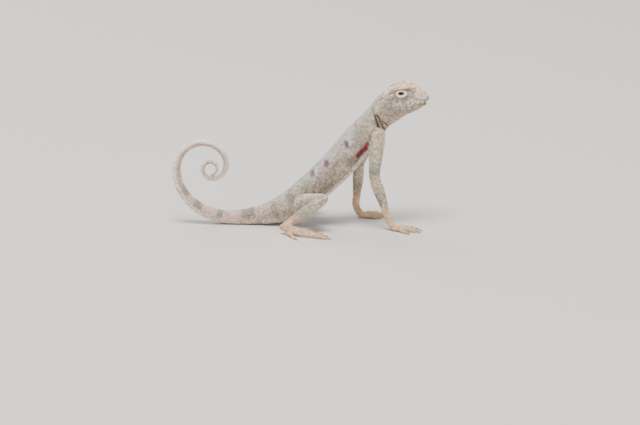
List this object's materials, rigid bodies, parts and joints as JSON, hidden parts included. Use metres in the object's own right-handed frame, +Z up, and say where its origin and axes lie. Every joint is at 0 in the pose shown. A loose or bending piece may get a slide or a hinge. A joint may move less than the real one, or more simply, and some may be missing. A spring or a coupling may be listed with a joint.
{
  "type": "toad-headed agama",
  "caption": "Slender desert lizard sitting up on straight arms, hind legs folded, long tail curled into a spiral.",
  "frame": {"origin": "on the floor, under the middle of the animal's box", "axes": "+X the way the animal faces, +Y its left side, +Z up"},
  "size_m": [0.0647, 0.0358, 0.0365],
  "materials": {
    "skin": "matt, finely scaled",
    "toe_skin": "matt, finely scaled",
    "claw_horn": "horn, smooth",
    "eye": "wet and glossy"
  },
  "bodies": {
    "root": {"claw_finger_1_left": "claw_horn", "claw_finger_1_right": "claw_horn", "claw_finger_2_left": "claw_horn", "claw_finger_2_right": "claw_horn", "claw_finger_3_left": "claw_horn", "claw_finger_3_right": "claw_horn", "claw_finger_4_left": "claw_horn", "claw_finger_4_right": "claw_horn", "claw_finger_5_left": "claw_horn", "claw_finger_5_right": "claw_horn", "claw_toe_1_left": "claw_horn", "claw_toe_1_right": "claw_horn", "claw_toe_2_left": "claw_horn", "claw_toe_2_right": "claw_horn", "claw_toe_3_left": "claw_horn", "claw_toe_3_right": "claw_horn", "claw_toe_4_left": "claw_horn", "claw_toe_4_right": "claw_horn", "claw_toe_5_left": "claw_horn", "claw_toe_5_right": "claw_horn", "eye_left": "eye", "eye_right": "eye", "foot_left": "toe_skin", "foot_right": "toe_skin", "forearm_left": "skin", "forearm_right": "skin", "hand_left": "toe_skin", "hand_right": "toe_skin", "head": "skin", "hips": "skin", "jaw": "skin", "neck": "skin", "shank_left": "skin", "shank_right": "skin", "tail_1": "skin", "tail_2": "skin", "tail_3": "skin", "tail_4": "skin", "tail_5": "skin", "tail_6": "skin", "tail_7": "skin", "tail_8": "skin", "thigh_left": "skin", "thigh_right": "skin", "toe_1_left": "toe_skin", "toe_1_right": "toe_skin", "toe_2_left": "toe_skin", "toe_2_right": "toe_skin", "toe_3_left": "toe_skin", "toe_3_right": "toe_skin", "toe_4_left": "toe_skin", "toe_4_right": "toe_skin", "toe_5_left": "toe_skin", "toe_5_right": "toe_skin", "torso": "skin", "upper_arm_left": "skin", "upper_arm_right": "skin"}
  },
  "joints": []
}
